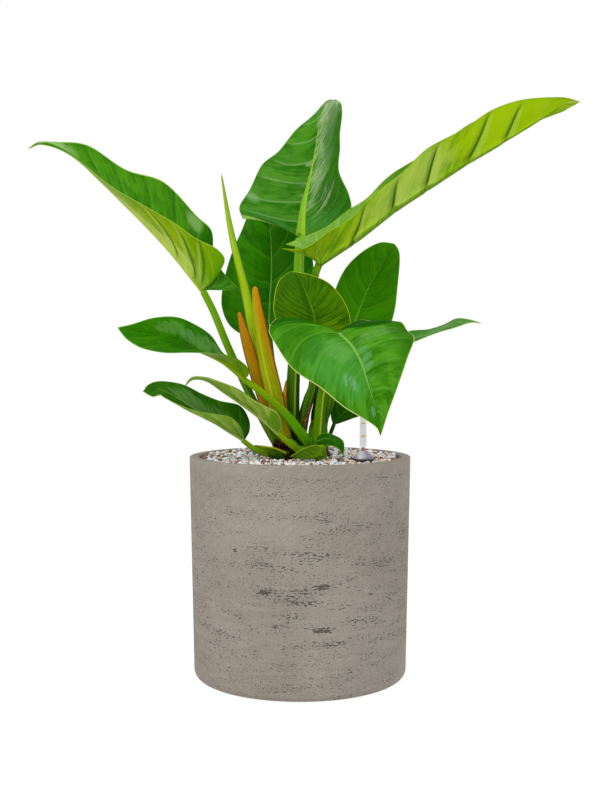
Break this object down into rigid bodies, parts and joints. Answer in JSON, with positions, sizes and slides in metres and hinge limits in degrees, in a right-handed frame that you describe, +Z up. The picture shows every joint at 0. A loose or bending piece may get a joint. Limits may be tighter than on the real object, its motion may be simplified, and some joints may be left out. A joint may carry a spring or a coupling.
{
  "type": "potted imperial green philodendron",
  "caption": "Philodendron with broad glossy green leaves on long stalks, growing in mineral granules in a straight grey fibre-clay cylinder planter with a clear water gauge.",
  "frame": {"origin": "centre of the planter's flat foot, on the surface it stands on", "axes": "+Z up, -Y towards the viewer of the picture, +X to that viewer's right"},
  "size_m": [0.6603, 0.2982, 0.7463],
  "materials": {
    "clay": "matte",
    "granules": "matte",
    "stem": "matte",
    "leaf": "satin",
    "olive_leaf": "satin",
    "stalk": "satin",
    "sheath": "satin",
    "new_leaf": "satin",
    "clear": "gloss",
    "casing": "matte",
    "float": "satin"
  },
  "bodies": {
    "potted_plant": {"planter": "clay", "granules": "granules", "main_stem": "stem", "side_stem": "stem", "leaf_1": "leaf", "leaf_2": "leaf", "leaf_3": "leaf", "leaf_4": "olive_leaf", "leaf_5": "leaf", "leaf_6": "leaf", "leaf_7": "leaf", "leaf_8": "leaf", "leaf_9": "leaf", "leaf_10": "leaf", "leaf_11": "leaf", "leaf_12": "leaf", "leaf_13": "leaf", "leaf_14": "leaf", "leaf_1_stalk": "stalk", "leaf_2_stalk": "stalk", "leaf_3_stalk": "stalk", "leaf_4_stalk": "stalk", "leaf_5_stalk": "stalk", "leaf_6_stalk": "stalk", "leaf_7_stalk": "stalk", "leaf_8_stalk": "stalk", "leaf_9_stalk": "stalk", "leaf_10_stalk": "stalk", "leaf_11_stalk": "stalk", "leaf_12_stalk": "stalk", "leaf_13_stalk": "stalk", "leaf_14_stalk": "stalk", "sheath_1": "sheath", "sheath_2": "sheath", "new_leaf": "new_leaf", "basal_scale": "stalk", "gauge_casing": "casing", "gauge_dome": "clear", "gauge_tube": "clear"},
    "float": {"gauge_float": "float"}
  },
  "joints": [
    {"name": "float_slide", "type": "slide", "parent": "potted_plant", "child": "float", "axis": [0, 0, 1], "range_m": [0, 0.045]}
  ]
}
